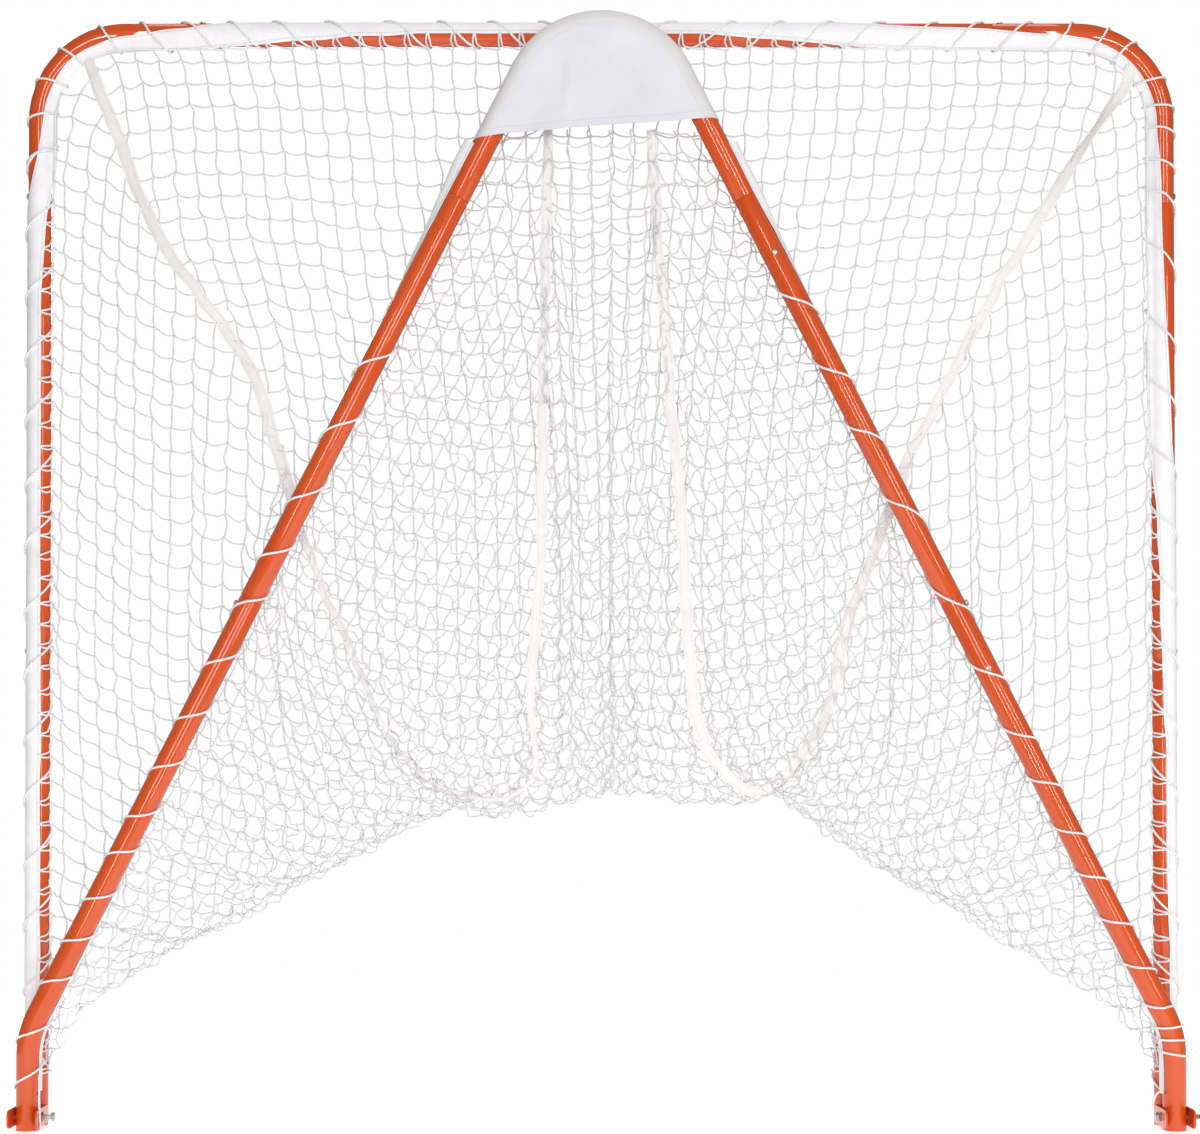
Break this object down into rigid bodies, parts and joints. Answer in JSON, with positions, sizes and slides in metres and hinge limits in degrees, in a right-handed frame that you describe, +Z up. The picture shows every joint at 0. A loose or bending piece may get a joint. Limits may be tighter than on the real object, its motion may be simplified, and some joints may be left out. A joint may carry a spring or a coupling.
{
  "type": "folding lacrosse goal",
  "caption": "Square tube mouth frame with a V-shaped ground frame hinged at its feet, folded upright, with a laced net, straps and apex cover.",
  "frame": {"origin": "on the floor, midway between the posts and midway between the goal's front and back", "axes": "+X across the mouth, +Y out of the mouth, +Z up; the folded ground frame stands on the -Y side"},
  "size_m": [1.9416, 0.124, 1.837],
  "materials": {
    "frame_paint": "glossy orange powder coat",
    "zinc_steel": "bright zinc plate",
    "webbing": "matt white woven tape",
    "lacing_cord": "white twisted cord",
    "net_twine": "white knotted twine",
    "cover_canvas": "matt white canvas with a faint lavender cast"
  },
  "bodies": {
    "front_frame": {"corner_tube_left": "frame_paint", "corner_tube_right": "frame_paint", "crossbar_tube_left": "frame_paint", "crossbar_tube_right": "frame_paint", "post_tube_middle_left": "frame_paint", "post_tube_middle_right": "frame_paint", "post_tube_lower_left": "frame_paint", "post_tube_lower_right": "frame_paint", "corner_post_screw_left": "zinc_steel", "corner_post_screw_right": "zinc_steel", "corner_bar_screw_left": "zinc_steel", "corner_bar_screw_right": "zinc_steel", "crossbar_screw": "zinc_steel", "post_screw_left": "zinc_steel", "post_screw_right": "zinc_steel", "hinge_bracket_left": "frame_paint", "hinge_bracket_right": "frame_paint", "bracket_screw_left": "zinc_steel", "bracket_screw_right": "zinc_steel", "hinge_washer_left": "zinc_steel", "hinge_washer_right": "zinc_steel", "hinge_bolt_left": "zinc_steel", "hinge_bolt_right": "zinc_steel", "hinge_nut_left": "zinc_steel", "hinge_nut_right": "zinc_steel", "post_tape_left": "webbing", "post_tape_right": "webbing", "crossbar_tape": "webbing", "post_lacing_left": "lacing_cord", "post_lacing_right": "lacing_cord", "crossbar_lacing": "lacing_cord", "net_strap_left": "webbing", "net_strap_right": "webbing", "net_left": "net_twine", "net_right": "net_twine", "net_top": "net_twine"},
    "ground_frame": {"apex_tube": "frame_paint", "leg_tube_middle_left": "frame_paint", "leg_tube_middle_right": "frame_paint", "leg_tube_lower_left": "frame_paint", "leg_tube_lower_right": "frame_paint", "apex_screw_left": "zinc_steel", "apex_screw_right": "zinc_steel", "leg_screw_left": "zinc_steel", "leg_screw_right": "zinc_steel", "leg_front_screw_1": "zinc_steel", "leg_front_screw_2": "zinc_steel", "leg_tape_left": "webbing", "leg_tape_right": "webbing", "leg_lacing_left": "lacing_cord", "leg_lacing_right": "lacing_cord", "apex_cover": "cover_canvas"}
  },
  "joints": [
    {"name": "fold", "type": "hinge", "parent": "front_frame", "child": "ground_frame", "pos_m": [0, -0.02301, 0.0215], "axis": [1, 0, 0], "range_deg": [0, 90], "deforming": ["net_left", "net_right", "net_top", "net_strap_left", "net_strap_right"]}
  ]
}
